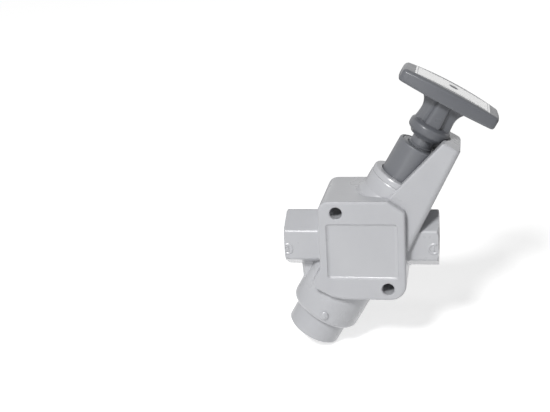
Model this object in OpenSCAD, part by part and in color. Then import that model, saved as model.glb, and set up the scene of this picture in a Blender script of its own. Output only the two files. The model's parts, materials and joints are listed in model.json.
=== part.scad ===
// Three-way inline lockout valve: a hand plunger slides in a tilted bore.
// Ports 1 and 2 face each other along X and port 3 vents at the low end.
// Lengths are in millimetres and stations are measured along the plunger axis.
// The origin is the centre of the two bolt holes in the back face.

/* [Housing] */
// Tilt of the plunger axis from vertical
tilt = 30; // [15:1:45]
// Depth from front pad to back pad
body_depth = 60; // [52:1:80]
// Width of the pad
pad_width = 58.6; // [54:0.2:80]
// Height of the pad
pad_height = 71; // [66:0.5:90]
// Slant cut height at the arm's corner of the pad
pad_cut = 8; // [5:0.5:12]
// Radius of the pad's round corner at the low right
pad_corner = 11; // [4:0.5:14]
// Radius of the pad's corner at the high left
pad_round = 7; // [3:0.5:10]
// Rounding of the cast edges
cast_edge = 1.7; // [0.6:0.1:2.2]
// Station depth of the pad's shoulder over the vent barrel
pad_shoulder_low = 40.6; // [38:0.1:44]
// Distance from axis to the shoulder's outer wall
pad_shoulder_side = 19.1; // [16:0.1:22]
// Width of the sunk panel
panel_width = 48.8; // [40:0.2:52]
// Height of the sunk panel
panel_height = 39.8; // [30:0.2:42]
// Depth of the sunk panel
panel_depth = 1.5; // [0.5:0.1:2]
// Corner radius of the sunk panel
panel_round = 2; // [1:0.5:4]
// Sideways offset of each mounting hole
hole_x = 17; // [15:0.5:22]
// Height offset of each mounting hole
hole_z = 27.3; // [26:0.1:32]
// Mounting hole diameter
hole_d = 8.4; // [5:0.1:9]

/* [Ports] */
// Hexagon across its flats
port_af = 36; // [32:0.5:44]
// Reach of port 1 from the axis
inlet_reach = 50.5; // [46:0.5:70]
// Reach of port 2 from the axis
outlet_reach = 55.6; // [46:0.5:75]
// Thread diameter of ports 1 and 2
port_thread_d = 20.955; // [16:0.005:26]
// Thread depth of ports 1 and 2
port_thread_depth = 16; // [10:0.5:20]
// Passage diameter behind each thread
passage_d = 14; // [8:0.5:16]
// Length of the flare where a hexagon meets the pad
port_flare = 2.6; // [1:0.2:5]
// Rise of that flare over the hexagon
flare_rise = 1.6; // [0.5:0.1:3]
// Rounding of the long edges of each hexagon
hex_round = 2.6; // [1:0.1:4]

/* [Boss and arm] */
// Boss radius
boss_r = 20.5; // [20:0.1:24]
// Station of the boss end
boss_top = 47.4; // [45:0.1:54]
// Length of the gland ring on the boss
gland_len = 4; // [3:0.1:6]
// Station of the arm end
arm_top = 90; // [84:0.5:100]
// Distance from axis to the arm's outer wall at its end
arm_out = 23.6; // [22:0.1:28]
// Distance from axis to the arm's outer wall at its foot
arm_foot_out = 28; // [26:0.1:31]
// Distance from axis to the inner edge at the arm end
arm_in = 10.8; // [8:0.2:13]
// Half depth of the arm at its end
arm_half = 20; // [19:0.2:24]
// Half depth of the arm at its foot
arm_foot_half = 24.4; // [22:0.2:27]
// Corner radius along the arm's outer wall
arm_corner = 4; // [2:0.5:6]
// Padlock hole diameter
lock_d = 8; // [5:0.5:9]
// Distance from the arm end to the padlock hole
lock_drop = 8; // [6:0.5:12]
// Gap between the plunger flange and the arm's pocket
pocket_gap = 1.3; // [0.6:0.1:2]

/* [Bore] */
// Radius of the main bore
bore_r = 14.76; // [14:0.01:16]
// Radius of the two galleries
gallery_r = 19.5; // [18:0.1:21]
// Station of the near wall of each gallery
gallery_near = 4.5; // [4:0.25:6]
// Length of each gallery
gallery_len = 12.5; // [10:0.5:13]
// Station depth where the vent chamber begins
chamber_start = 27; // [24:0.5:30]
// Radius of the vent chamber
chamber_r = 21.2; // [20:0.1:22]

/* [Vent end] */
// Radius of the vent barrel
vent_r = 25; // [24:0.1:28]
// Station depth of the vent barrel's end
vent_end = 64; // [60:0.5:72]
// Radius of the collar
collar_r = 19.5; // [17:0.1:20.5]
// Length of the collar below the barrel
collar_out = 17.5; // [14:0.5:24]
// Length of the collar's shoulder
shoulder_len = 8; // [7:0.5:9]
// Thread diameter of port 3
vent_thread_d = 26.441; // [20:0.001:30]
// Thread depth of port 3
vent_thread_depth = 16; // [12:0.5:20]
// Radius of the round badge disc on the vent barrel
disc_r = 3; // [2:0.2:5]
// Rise of that disc over the barrel
disc_rise = 1.2; // [0.4:0.1:2]
// Distance of that disc from the barrel's end
disc_drop = 6.4; // [5:0.1:12]

/* [Plunger] */
// Stroke of the plunger
stroke = 16; // [12:0.5:16]
// Running clearance of the lands
land_gap = 0.09; // [0.03:0.01:0.1]
// Running clearance of the rings
ring_gap = 0.04; // [0.02:0.01:0.06]
// Length of the barrel above its lower end
barrel_len = 42.5; // [38:0.5:48]
// Station of the barrel's lower end
barrel_low = 34; // [33.5:0.5:36]
// Length of the middle and low lands
land_len = 7; // [6:0.25:8]
// Radius of the waists between the lands
waist_r = 7; // [5.5:0.25:9]
// Depth of the cup in the barrel's top
cup_depth = 1.5; // [1:0.5:6]
// Wall of the cup
cup_wall = 2.2; // [1.6:0.1:4]
// Cord radius of the sealing rings
ring_cord = 1.45; // [1:0.05:1.8]
// Radius of the stem
stem_r = 7.6; // [6:0.1:8.5]
// Stem length between barrel and flange
stem_show = 7; // [5:0.5:12]
// Thickness of the stop disc
stop_thick = 3; // [2:0.25:4]
// Thickness of the two rubber bumpers
bumper_thick = 2; // [1:0.25:3]
// Clearance between pieces that seat on each other
seat_gap = 0.1; // [0.05:0.01:0.2]

/* [Handle] */
// Flange radius
flange_r = 14.5; // [12:0.1:15]
// Flange thickness
flange_thick = 10.5; // [8:0.5:13]
// Length from flange to grip bar
neck_len = 17.2; // [15:0.2:24]
// Half length of the grip bar
bar_half = 35.8; // [30:0.2:50]
// Half width of the grip bar
bar_side = 14.3; // [12:0.1:18]
// Thickness of the grip bar
bar_thick = 8.4; // [7:0.1:12]
// Corner radius of the bar in plan
bar_corner = 3; // [2.5:0.5:6]
// Radius of the bowed ends of the bar in plan
bar_bow = 27.5; // [20:0.5:60]
// Edge rounding of the bar
bar_round = 1.6; // [1:0.1:2.4]
// Waist half width of the neck
neck_waist = 12.2; // [10:0.1:13.5]
// Half width of the neck under the bar
neck_top = 19.4; // [15:0.2:24]
// Depth of the neck's edge walls
neck_depth = 14; // [10:0.5:14]
// Thickness of the neck's middle web
web_thick = 6; // [4:0.5:9]
// Thickness of the neck's edge walls
neck_wall = 3; // [2:0.1:4]
// Radius of the neck's round column
column_r = 7.3; // [6.8:0.1:9]
// Length of the label
label_len = 55; // [40:0.5:58]
// Width of the label
label_width = 23; // [16:0.5:24]
// Thickness of the label
label_thick = 0.5; // [0.3:0.1:0.8]
// Handle bolt diameter
bolt_d = 6; // [4:0.5:8]

/* [Hidden] */
$fn = 72;
eps = 0.01;
half_d = body_depth / 2;
port_r = port_thread_d / 2;
vent_port_r = vent_thread_d / 2;
land_r = bore_r - land_gap;
seal_r = bore_r - ring_gap;
pocket_r = flange_r + pocket_gap;
barrel_top = barrel_low + barrel_len;
flange_low = barrel_top + stem_show;
flange_top = flange_low + flange_thick;
bar_low = flange_top + neck_len;
bar_top = bar_low + bar_thick;
gallery_far = gallery_near + gallery_len;
middle_low = gallery_far + ring_cord + 0.1 - land_len / 2;
vent_land_top = -gallery_far - 2;
vent_land_low = vent_land_top - land_len;
stop_top = -chamber_start - bumper_thick - 2 * seat_gap - 0.3;
stop_low = stop_top - stop_thick;
stop_r = chamber_r - 2.4;
collar_top = stop_low - stroke - 0.4 - 0.6;
shoulder_low = collar_top - shoulder_len;
collar_low = -vent_end - collar_out;
groove_w = 2 * ring_cord + 0.5;
groove_r = seal_r - 2 * ring_cord - 0.05;
mouth_r = bore_r + 2.74;
mouth_low = boss_top - 8.3;
guide_len = 4.2;
wiper_len = 3.2;
screw_r = 4;
screw_head_r = 6.5;
screw_head_len = 5;
screw_len = 17;
tap_gap = 0.12;
stud_r = 5;
stud_len = 12;
spigot_r = 5.5;
spigot_len = 8.5;
bolt_r = bolt_d / 2;
label_round = 1.2;
bow_angle = asin((bar_side - bar_corner) / (bar_bow - bar_corner));
bow_centre = bar_half - bar_bow;
bolt_head_r = bolt_r + 2.2;
bolt_head_len = bolt_d * 0.6;
washer_thick = 1.2;
head_seat = bar_top - label_thick - 0.3 - bolt_head_len - washer_thick;
sleeve_r = 5.3;
lock_station = arm_top - lock_drop;
foot_station = 14;
bevel = 0.8;
tight_r = 3;
panel_slope = 1.3;
pad_cut_x = -14;
web_low = 50.6;
web_rise = 20;
web_shift = 13;
web_wide = 15;
gland_r = boss_r - 0.3;

// Moves a drawing from the valve's middle plane to the mounting face.
module placed() {
  translate([0, -half_d, 0])
    children();
}

// Tips a drawing made along Z onto the plunger axis.
module on_axis() {
  placed()
    rotate([0, tilt, 0])
      children();
}

// Extrudes an X and Z outline evenly to both sides of the middle plane.
module through_y(depth) {
  rotate([90, 0, 0])
    linear_extrude(height = depth, center = true)
      children();
}

// Disc across the valve with both of its rims rounded, for the pad's corners.
module corner_disc(radius) {
  e = cast_edge;
  rotate([90, 0, 0])
    rotate_extrude($fn = 32)
      polygon(concat(
        [[0, -half_d]],
        [for (a = [-90 : 30 : 0])
          [radius - e + e * cos(a), -half_d + e + e * sin(a)]],
        [for (a = [0 : 30 : 90])
          [radius - e + e * cos(a), half_d - e + e * sin(a)]],
        [[0, half_d]]
      ));
}

// Full pad with rounded corners and edges.
module pad_block() {
  w = pad_width / 2;
  h = pad_height / 2;
  hull() {
    translate([-w + pad_round, 0, h - pad_round])
      corner_disc(pad_round);
    translate([w - pad_cut / tan(tilt) + tight_r / 2, 0, h - tight_r])
      corner_disc(tight_r);
    translate([w - tight_r, 0, h - pad_cut - tight_r / 2])
      corner_disc(tight_r);
    translate([w - pad_corner, 0, -h + pad_corner])
      corner_disc(pad_corner);
    translate([pad_cut_x, 0, -h + tight_r])
      corner_disc(tight_r);
    translate([-w + tight_r, 0, -pad_shoulder_low / 2])
      corner_disc(tight_r);
  }
}

// Shoulder of the pad that follows the vent barrel at the low left.
module pad_shoulder() {
  round_r = 4.5;
  hull() {
    rotate([0, tilt, 0]) {
      translate([-pad_shoulder_side + round_r, 0, -pad_shoulder_low + round_r])
        corner_disc(round_r);
      translate([-tight_r, 0, -pad_shoulder_low + tight_r])
        corner_disc(tight_r);
      translate([-pad_shoulder_side + round_r, 0, -pad_shoulder_low * 0.6])
        corner_disc(round_r);
      translate([tight_r, 0, -pad_shoulder_low / 2])
        corner_disc(tight_r);
    }
    translate([pad_cut_x, 0, -pad_height / 2 + tight_r])
      corner_disc(tight_r);
  }
}

// Web that runs from the vent barrel up to the hexagon of port 2.
module vent_web() {
  edge = 2.5;
  hull()
    for (inset = [0, edge])
      through_y(web_wide - 2 * edge + 2 * inset)
        polygon([
          [-vent_r + 2 + inset, -web_low], [-vent_r + 2 + inset - web_shift, -web_low + web_rise],
          [-vent_r + 9, -web_low + web_rise], [-vent_r + 9, -web_low]
        ]);
}

// One cross section of the arm: round outer corners and tight inner ones.
module arm_section(station, inner, half, shrink) {
  out = arm_foot_out - (arm_foot_out - arm_out) * (station - foot_station)
    / (arm_top - foot_station);
  for (side = [-1, 1]) {
    translate([out - arm_corner, side * (half - arm_corner), station])
      cylinder(r = arm_corner - shrink, h = eps, $fn = 32);
    translate([inner + 1.3, side * (half - 1.3), station])
      cylinder(r = 1.3 - shrink, h = eps, $fn = 32);
  }
}

// Arm that shields the plunger and carries the padlock hole.
module arm_solid() {
  knee = 37;
  hull() {
    arm_section(arm_top - eps, arm_in, arm_half, bevel);
    arm_section(arm_top - bevel, arm_in - 0.2, arm_half, 0);
    arm_section(knee, -3, arm_foot_half - 1.4, 0);
    arm_section(foot_station, -3, arm_foot_half, 0);
  }
}

// Hexagon outline with rounded corners, drawn wider by a rise.
module hex_outline(rise) {
  offset(r = hex_round, $fn = 48)
    circle(r = (port_af / 2 + rise - hex_round) * 2 / sqrt(3), $fn = 6);
}

// Hexagon port with a flare at its foot and broken corners at its end.
module port_hex(reach) {
  foot = pad_width / 2;
  rotate([0, 90, 0]) {
    intersection() {
      linear_extrude(height = reach)
        hex_outline(0);
      cylinder(r1 = port_af / 2 + 1.3 + reach, r2 = port_af / 2 + 1.3, h = reach);
    }
    translate([0, 0, foot - 2])
      linear_extrude(height = port_flare + 2, slices = 1,
                     scale = port_af / (port_af + 2 * flare_rise))
        hex_outline(flare_rise);
  }
}

// Threaded port bore with its mouth chamfer and the passage behind it.
module port_bore(reach) {
  passage_end = gallery_r - bevel / 2;
  rotate([0, 90, 0]) {
    translate([0, 0, reach - port_thread_depth])
      cylinder(r = port_r, h = port_thread_depth + 1);
    translate([0, 0, passage_end])
      cylinder(r = passage_d / 2, h = reach - port_thread_depth - passage_end + 0.5);
    translate([0, 0, reach - 1.3])
      cylinder(r1 = port_r, r2 = port_r + 1.4, h = 1.4);
  }
}

// Outer form of the round parts on the plunger axis.
module axis_solids() {
  rotate_extrude()
    polygon([
      [0, -vent_end], [vent_r - 3, -vent_end], [vent_r - 1.2, -vent_end + 0.7],
      [vent_r - 0.3, -vent_end + 2], [vent_r, -vent_end + 3.6], [vent_r, -8],
      [0, -8]
    ]);
  rotate_extrude()
    polygon([
      [0, 0], [boss_r + 2.2, 0], [boss_r + 2.2, boss_top - 15.5],
      [boss_r, boss_top - 10.5], [boss_r, boss_top - 1], [boss_r - 0.3, boss_top - 0.3],
      [boss_r - 1, boss_top], [0, boss_top]
    ]);
}

// Bore, galleries, ring seats and vent chamber.
module axis_cuts() {
  translate([0, 0, -chamber_start - 1])
    cylinder(r = bore_r, h = chamber_start + boss_top + 2);
  for (low = [gallery_near, -gallery_far])
    translate([0, 0, low])
      cylinder(r = gallery_r, h = gallery_len);
  translate([0, 0, mouth_low])
    cylinder(r = mouth_r, h = boss_top - mouth_low + 1);
  translate([0, 0, boss_top])
    cylinder(r = pocket_r, h = arm_top - boss_top + 2);
  translate([0, 0, boss_top])
    cylinder(r = gland_r + 0.3, h = gland_len + 0.4);
  translate([0, 0, -vent_end - 1])
    cylinder(r = chamber_r, h = vent_end - chamber_start + 1);
  translate([0, 0, shoulder_low - seat_gap - 1.8])
    cylinder(r = chamber_r + 1.4, h = 1.8);
}

// Sunk panel with sloped walls, cut down from its face.
module sunk_panel() {
  wide = 1 - 2 * panel_slope / panel_width;
  high = 1 - 2 * panel_slope / panel_height;
  linear_extrude(height = panel_depth + eps, slices = 1, scale = [wide, high])
    offset(r = panel_round, $fn = 24)
      square([panel_width - 2 * panel_round, panel_height - 2 * panel_round], center = true);
}

// Cast valve body.
module housing() {
  color([0.80, 0.81, 0.82])
    placed()
      difference() {
        union() {
          pad_block();
          pad_shoulder();
          rotate([0, tilt, 0]) {
            axis_solids();
            arm_solid();
            vent_web();
            translate([0, -vent_r + 1, -vent_end + disc_drop])
              rotate([90, 0, 0])
                rotate_extrude($fn = 40)
                  polygon([
                    [0, 0], [disc_r, 0], [disc_r, disc_rise + 0.4],
                    [disc_r - 0.2, disc_rise + 0.75], [disc_r - 0.7, disc_rise + 1],
                    [0, disc_rise + 1]
                  ]);
          }
          port_hex(inlet_reach);
          rotate([0, 0, 180])
            port_hex(outlet_reach);
        }
        rotate([0, tilt, 0]) {
          axis_cuts();
          translate([flange_r - 2, 0, lock_station])
            rotate([0, 90, 0])
              cylinder(d = lock_d, h = arm_out, $fn = 48);
        }
        port_bore(inlet_reach);
        rotate([0, 0, 180])
          port_bore(outlet_reach);
        for (side = [-1, 1]) {
          translate([-side * hole_x, 0, side * hole_z])
            rotate([90, 0, 0])
              cylinder(d = hole_d, h = body_depth + 2, center = true, $fn = 48);
          translate([-side * hole_x, -half_d + 0.6, side * hole_z])
            rotate([90, 0, 0])
              cylinder(d1 = hole_d, d2 = hole_d + 1.4, h = 0.7, $fn = 48);
          rotate([side * 90, 0, 0])
            translate([0, 0, half_d + eps])
              mirror([0, 0, 1])
                sunk_panel();
        }
      }
}

// Bearing ring under the wiper.
module guide_ring() {
  color([0.90, 0.88, 0.80])
    on_axis()
      translate([0, 0, mouth_low + seat_gap])
        difference() {
          cylinder(r = mouth_r - seat_gap, h = guide_len);
          translate([0, 0, -1])
            cylinder(r = land_r + 0.07, h = guide_len + 2);
        }
}

// Rubber wiper in the boss mouth, with a lip that leans on the barrel.
module wiper_ring() {
  low = mouth_low + seat_gap + guide_len + seat_gap;
  color([0.08, 0.08, 0.09])
    on_axis()
      rotate_extrude()
        polygon([
          [land_r + 0.9, low], [mouth_r - seat_gap, low],
          [mouth_r - seat_gap, low + wiper_len], [land_r + 1.5, low + wiper_len],
          [land_r + 0.8, low + wiper_len + 0.7], [land_r + 0.06, low + wiper_len + 0.7],
          [land_r + 0.06, low + wiper_len - 0.3], [land_r + 0.9, low + wiper_len - 1.4]
        ]);
}

// Ring on the boss that keeps the wiper in.
module gland_ring() {
  low = boss_top + seat_gap;
  top = low + gland_len;
  hole_r = land_r + 0.35;
  color([0.74, 0.75, 0.76])
    on_axis()
      rotate_extrude()
        polygon([
          [hole_r, low], [gland_r, low], [gland_r, top - 1.2], [gland_r - 0.3, top - 0.5],
          [gland_r - 1, top - 0.1], [gland_r - 1.8, top], [hole_r + 0.4, top],
          [hole_r, top - 0.4]
        ]);
}

// Threaded collar of port 3.
module exhaust_collar() {
  seat = collar_top - 0.6;
  color([0.78, 0.79, 0.80])
    on_axis()
      difference() {
        rotate_extrude()
          polygon([
            [vent_port_r - 1.4, collar_top - bumper_thick],
            [vent_port_r + 1, collar_top - bumper_thick],
            [vent_port_r + 1, seat], [chamber_r - 2.4, seat],
            [chamber_r - 2.4, collar_top - 0.6], [chamber_r - seat_gap, collar_top - 1.4],
            [chamber_r - seat_gap, shoulder_low], [collar_r, shoulder_low],
            [collar_r, collar_low + 1], [collar_r - 1, collar_low],
            [vent_port_r + 1.3, collar_low], [vent_port_r, collar_low + 1.3],
            [vent_port_r, collar_low + vent_thread_depth],
            [vent_port_r - 1.4, collar_low + vent_thread_depth]
          ]);
        translate([0, 0, collar_top - 0.5 * shoulder_len - groove_w / 2])
          difference() {
            cylinder(r = chamber_r + 1, h = groove_w);
            translate([0, 0, -1])
              cylinder(r = chamber_r - 2 * ring_cord - 0.1, h = groove_w + 2);
          }
      }
}

// Sealing ring of round cord at a station.
module cord_ring(outer, cord, station) {
  translate([0, 0, station])
    rotate_extrude()
      translate([outer - cord, 0])
        circle(r = cord, $fn = 24);
}

// Ring between collar and vent barrel.
module collar_seal() {
  color([0.06, 0.06, 0.07])
    on_axis()
      cord_ring(chamber_r - ring_gap, ring_cord, collar_top - 0.5 * shoulder_len);
}

// Spring ring that holds the collar in.
module collar_ring() {
  color([0.35, 0.35, 0.37])
    on_axis()
      translate([0, 0, shoulder_low - seat_gap - 1.7])
        difference() {
          cylinder(r = chamber_r + 1.3, h = 1.6);
          translate([0, 0, -1])
            cylinder(r = collar_r + 0.2, h = 4);
          translate([0, -2.5, -1])
            cube([chamber_r + 4, 5, 4]);
        }
}

// Rubber ring that the stop disc lands on when the plunger is in.
module collar_bumper() {
  color([0.10, 0.10, 0.11])
    on_axis()
      translate([0, 0, collar_top - 0.5])
        difference() {
          cylinder(r = chamber_r - 3, h = 0.5 + 0.6);
          translate([0, 0, -1])
            cylinder(r = vent_port_r + 1.1, h = 4);
        }
}

// Sliding spool turned from one bar: barrel, two lands and two waists.
module spool() {
  cup_r = land_r - cup_wall;
  cup_low = barrel_top - cup_depth;
  color([0.33, 0.34, 0.36])
    on_axis()
      difference() {
        rotate_extrude()
          polygon([
            [0, vent_land_low], [land_r - 0.6, vent_land_low],
            [land_r, vent_land_low + 0.6], [land_r, vent_land_top - 0.6],
            [land_r - 0.6, vent_land_top], [waist_r, vent_land_top],
            [waist_r, middle_low], [land_r - 0.6, middle_low],
            [land_r, middle_low + 0.6], [land_r, middle_low + land_len - 0.6],
            [land_r - 0.6, middle_low + land_len], [waist_r, middle_low + land_len],
            [waist_r, barrel_low], [land_r - 0.6, barrel_low],
            [land_r, barrel_low + 0.6], [land_r, barrel_top - 1],
            [land_r - 0.4, barrel_top - 0.3], [land_r - 1.1, barrel_top],
            [cup_r + 0.6, barrel_top], [cup_r, barrel_top - 0.6],
            [cup_r, cup_low], [0, cup_low]
          ]);
        for (mid = [barrel_low + land_len / 2, middle_low + land_len / 2,
                    vent_land_low + land_len / 2])
          translate([0, 0, mid - groove_w / 2])
            difference() {
              cylinder(r = land_r + 1, h = groove_w);
              translate([0, 0, -1])
                cylinder(r = groove_r, h = groove_w + 2);
            }
        translate([0, 0, cup_low - stud_len - 1])
          cylinder(r = stud_r + tap_gap, h = stud_len + 2);
        translate([0, 0, vent_land_low - 1])
          cylinder(r = screw_r + tap_gap, h = screw_len + 2);
      }
}

module barrel_seal() {
  color([0.06, 0.06, 0.07])
    on_axis()
      cord_ring(seal_r, ring_cord, barrel_low + land_len / 2);
}

module middle_seal() {
  color([0.06, 0.06, 0.07])
    on_axis()
      cord_ring(seal_r, ring_cord, middle_low + land_len / 2);
}

module vent_seal() {
  color([0.06, 0.06, 0.07])
    on_axis()
      cord_ring(seal_r, ring_cord, vent_land_low + land_len / 2);
}

// Rubber ring that meets the bore's shoulder when the plunger is out.
module end_bumper() {
  color([0.10, 0.10, 0.11])
    on_axis()
      translate([0, 0, stop_top + seat_gap])
        difference() {
          cylinder(r = stop_r - 0.6, h = bumper_thick);
          translate([0, 0, -1])
            cylinder(r = waist_r + 0.4, h = bumper_thick + 2);
        }
}

// Stop disc with flow holes, clamped under the low land.
module stop_disc() {
  hub_top = vent_land_low - seat_gap;
  color([0.62, 0.63, 0.65])
    on_axis()
      difference() {
        union() {
          translate([0, 0, stop_low])
            cylinder(r = stop_r, h = stop_thick);
          translate([0, 0, stop_low])
            cylinder(r = waist_r, h = hub_top - stop_low);
        }
        translate([0, 0, stop_low - 1])
          cylinder(r = screw_r + 0.3, h = hub_top - stop_low + 2);
        for (k = [0 : 5])
          rotate([0, 0, 60 * k + 30])
            translate([(waist_r + vent_port_r) / 2 + 0.6, 0, stop_low - 1])
              cylinder(r = 2.2, h = stop_thick + 2, $fn = 32);
      }
}

// Socket screw that holds the stop disc.
module stop_screw() {
  head_top = stop_low - seat_gap - washer_thick - seat_gap;
  color([0.30, 0.30, 0.32])
    on_axis()
      difference() {
        union() {
          translate([0, 0, head_top - screw_head_len])
            cylinder(r = screw_head_r, h = screw_head_len);
          translate([0, 0, head_top - eps])
            cylinder(r = screw_r, h = vent_land_low + screw_len - head_top);
        }
        translate([0, 0, head_top - screw_head_len - 1])
          cylinder(r = 3.4, h = 4, $fn = 6);
      }
}

module screw_washer() {
  color([0.70, 0.71, 0.73])
    on_axis()
      translate([0, 0, stop_low - seat_gap - washer_thick])
        difference() {
          cylinder(r = screw_head_r + 0.2, h = washer_thick);
          translate([0, 0, -1])
            cylinder(r = screw_r + 0.3, h = washer_thick + 2);
        }
}

// Stem between barrel and handle, tapped at its top for the handle bolt.
module stem() {
  cup_low = barrel_top - cup_depth;
  color([0.42, 0.43, 0.45])
    on_axis()
      difference() {
        rotate_extrude()
          polygon([
            [0, cup_low - stud_len], [stud_r - 0.6, cup_low - stud_len],
            [stud_r, cup_low - stud_len + 0.6], [stud_r, cup_low + seat_gap],
            [stem_r + 0.9, cup_low + seat_gap], [stem_r + 0.9, cup_low + 2.2],
            [stem_r + 0.5, cup_low + 2.6], [stem_r, cup_low + 2.7],
            [stem_r, flange_low - seat_gap],
            [spigot_r, flange_low - seat_gap], [spigot_r, flange_low + spigot_len - 0.6],
            [spigot_r - 0.6, flange_low + spigot_len], [0, flange_low + spigot_len]
          ]);
        translate([0, 0, flange_low + spigot_len - 15])
          cylinder(r = bolt_r + tap_gap, h = 16);
      }
}

// Flared outline of the neck in the plane of the bar.
module neck_outline(inset) {
  steps = 10;
  rise = bar_low + 1 - flange_top + 2;
  side = [for (i = [0 : steps]) let (
    s = i / steps,
    low = flange_r - 1.2 - neck_waist,
    high = neck_top - neck_waist,
    w = neck_waist + low * pow(max(0, 1 - s / 0.42), 2)
        + high * pow(max(0, (s - 0.42) / 0.58), 2.2)
  ) [w - inset, flange_top - 2 + s * rise]];
  polygon(concat(side, [for (i = [steps : -1 : 0]) [-side[i][0], side[i][1]]]));
}

// Disc with rounded rims for the ends of the grip bar.
module bar_disc() {
  inner = bar_corner - bar_round;
  rotate_extrude($fn = 24)
    polygon(concat(
      [[0, bar_low]],
      [for (a = [-90 : 30 : 0])
        [inner + bar_round * cos(a), bar_low + bar_round + bar_round * sin(a)]],
      [for (a = [0 : 30 : 90])
        [inner + bar_round * cos(a), bar_top - bar_round + bar_round * sin(a)]],
      [[0, bar_top]]
    ));
}

// Moulded handle: grip bar, cored neck, round column and flange.
module handle_grip() {
  color([0.36, 0.37, 0.39])
    on_axis()
      difference() {
        union() {
          hull()
            for (end = [0, 180])
              rotate([0, 0, end])
                for (a = [-bow_angle : bow_angle / 2 : bow_angle])
                  translate([bow_centre + (bar_bow - bar_corner) * cos(a),
                             (bar_bow - bar_corner) * sin(a), 0])
                    rotate([0, 0, a])
                      bar_disc();
          through_y(web_thick)
            neck_outline(0);
          through_y(neck_depth)
            difference() {
              neck_outline(0);
              neck_outline(neck_wall);
            }
          translate([0, 0, flange_top - 3])
            cylinder(r = column_r, h = neck_len + 5);
          rotate_extrude()
            polygon([
              [0, flange_low], [flange_r - 3.6, flange_low],
              [flange_r - 3, flange_low + 1], [flange_r - 2.4, flange_low + 1.7],
              [flange_r - 0.7, flange_low + 2.9], [flange_r - 0.1, flange_low + 3.8],
              [flange_r, flange_low + 4.8], [flange_r, flange_top - 3],
              [flange_r - 0.5, flange_top - 1.2], [flange_r - 1.6, flange_top - 0.3],
              [flange_r - 2.6, flange_top], [0, flange_top]
            ]);
        }
        translate([0, 0, flange_low - 1])
          cylinder(r = spigot_r + seat_gap, h = spigot_len + 1 + seat_gap);
        translate([0, 0, flange_low + spigot_len])
          cylinder(r = sleeve_r + seat_gap, h = head_seat - flange_low - spigot_len);
        translate([0, 0, head_seat - seat_gap])
          cylinder(r = bolt_head_r + 0.8, h = bar_top - head_seat + 1);
        translate([0, 0, bar_top - label_thick / 2 + eps])
          cube([label_len + 0.4, label_width + 0.4, label_thick + eps], center = true);
      }
}

// Steel sleeve that keeps the bolt from crushing the moulding.
module handle_sleeve() {
  low = flange_low + spigot_len + seat_gap;
  color([0.70, 0.71, 0.73])
    on_axis()
      translate([0, 0, low])
        difference() {
          cylinder(r = sleeve_r, h = head_seat - 2 * seat_gap - low);
          translate([0, 0, -1])
            cylinder(r = bolt_r + 0.3, h = head_seat - low + 2);
        }
}

module handle_washer() {
  color([0.74, 0.75, 0.77])
    on_axis()
      translate([0, 0, head_seat])
        difference() {
          cylinder(r = bolt_head_r + 0.5, h = washer_thick - seat_gap);
          translate([0, 0, -1])
            cylinder(r = bolt_r + 0.3, h = washer_thick + 2);
        }
}

// Bolt from the top of the bar down into the stem.
module handle_bolt() {
  head_low = head_seat + washer_thick;
  color([0.30, 0.30, 0.32])
    on_axis()
      difference() {
        union() {
          translate([0, 0, head_low])
            cylinder(r = bolt_head_r, h = bolt_head_len);
          translate([0, 0, flange_low + spigot_len - 13])
            cylinder(r = bolt_r, h = head_low + eps - flange_low - spigot_len + 13);
        }
        translate([0, 0, head_low + bolt_head_len - 2])
          cylinder(r = bolt_r * 0.75, h = 3, $fn = 6);
      }
}

// Bare label plate that sits in a shallow recess.
module handle_label() {
  color([0.93, 0.93, 0.93])
    on_axis()
      translate([0, 0, bar_top - label_thick + 0.05])
        linear_extrude(height = label_thick - 0.05)
          offset(r = label_round, $fn = 32)
            square([label_len - 2 * label_round, label_width - 2 * label_round], center = true);
}

housing();
guide_ring();
wiper_ring();
gland_ring();
exhaust_collar();
collar_seal();
collar_ring();
collar_bumper();
spool();
barrel_seal();
middle_seal();
vent_seal();
end_bumper();
stop_disc();
stop_screw();
screw_washer();
stem();
handle_grip();
handle_sleeve();
handle_washer();
handle_bolt();
handle_label();
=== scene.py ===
"""Dresses a three-way inline lockout valve for a studio picture.

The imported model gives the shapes. This script adds the finishes, the pipe
threads, the cast marks and fillets, the barrel's top, the handle's crowned
moulding with its label, the lights, the floor and the camera.
"""
import json
import logging
import math
from dataclasses import dataclass, field
from enum import Enum

import bmesh
import bpy
from mathutils import Matrix, Vector


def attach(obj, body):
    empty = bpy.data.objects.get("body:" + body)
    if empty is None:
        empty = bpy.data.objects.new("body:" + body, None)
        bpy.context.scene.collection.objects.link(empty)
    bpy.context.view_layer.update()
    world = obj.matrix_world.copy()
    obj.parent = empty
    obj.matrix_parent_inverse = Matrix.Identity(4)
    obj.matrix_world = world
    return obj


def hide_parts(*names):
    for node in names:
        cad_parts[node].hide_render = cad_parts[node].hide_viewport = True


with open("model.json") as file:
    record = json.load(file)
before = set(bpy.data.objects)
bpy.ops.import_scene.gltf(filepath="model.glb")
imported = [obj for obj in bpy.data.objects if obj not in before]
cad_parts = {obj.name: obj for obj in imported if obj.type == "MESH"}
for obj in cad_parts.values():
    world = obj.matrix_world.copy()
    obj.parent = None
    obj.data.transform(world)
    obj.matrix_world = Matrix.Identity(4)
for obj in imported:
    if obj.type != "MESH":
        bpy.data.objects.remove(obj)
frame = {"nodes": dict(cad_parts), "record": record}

LOG = logging.getLogger("valve")
# One millimetre in metres. Sizes below are in millimetres unless they say otherwise.
MM = 0.001
TILT = math.radians(30.0)
AXIS = Vector((math.sin(TILT), 0.0, math.cos(TILT)))
FRONT_Y = -60.0
MID_PLANE_Y = -30.0
BACK_Y = 0.0
# Depth of the sunk panels' floors from the middle plane, and the slack of the test for it.
PANEL_FLOOR = 28.5
PANEL_SLACK = 0.3
# What is left of the paint's relief on the panels, where the mould was polished.
PANEL_RELIEF = 0.15
COAT_ROUGHNESS = 0.12
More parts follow.
